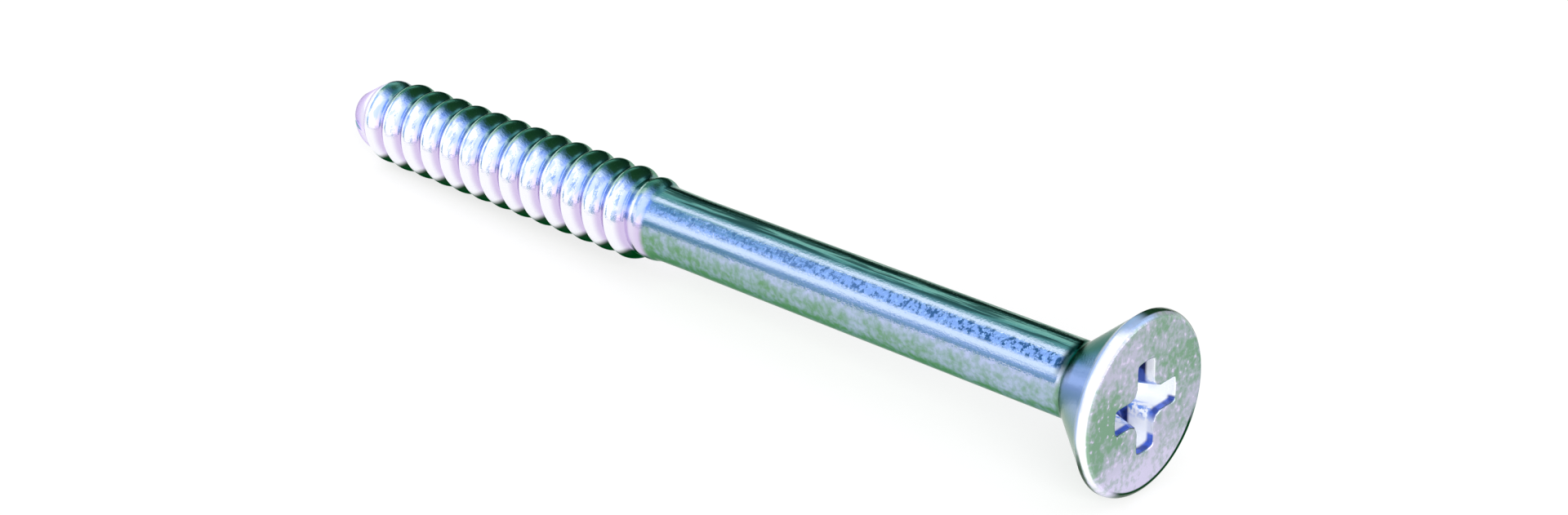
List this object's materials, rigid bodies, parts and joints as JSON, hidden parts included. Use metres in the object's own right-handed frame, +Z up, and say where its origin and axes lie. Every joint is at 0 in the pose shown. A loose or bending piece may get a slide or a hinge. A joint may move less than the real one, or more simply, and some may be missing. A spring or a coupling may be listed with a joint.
{
  "type": "flat head wood screw",
  "caption": "Zinc plated wood screw with a countersunk flat head, a cross recess, a plain shank, a rolled thread and a blunt point.",
  "frame": {"origin": "middle of the footprint, on the surface that the screw lies on", "axes": "+Z up, +X along the screw towards the head; the axis dips 2.4 degrees towards the point"},
  "size_m": [0.0566, 0.0092, 0.0093],
  "materials": {
    "zinc_plate": "bright zinc plate with a clear blue passivated film, faintly mottled green and lilac"
  },
  "bodies": {
    "root": {"screw": "zinc_plate"}
  },
  "joints": []
}
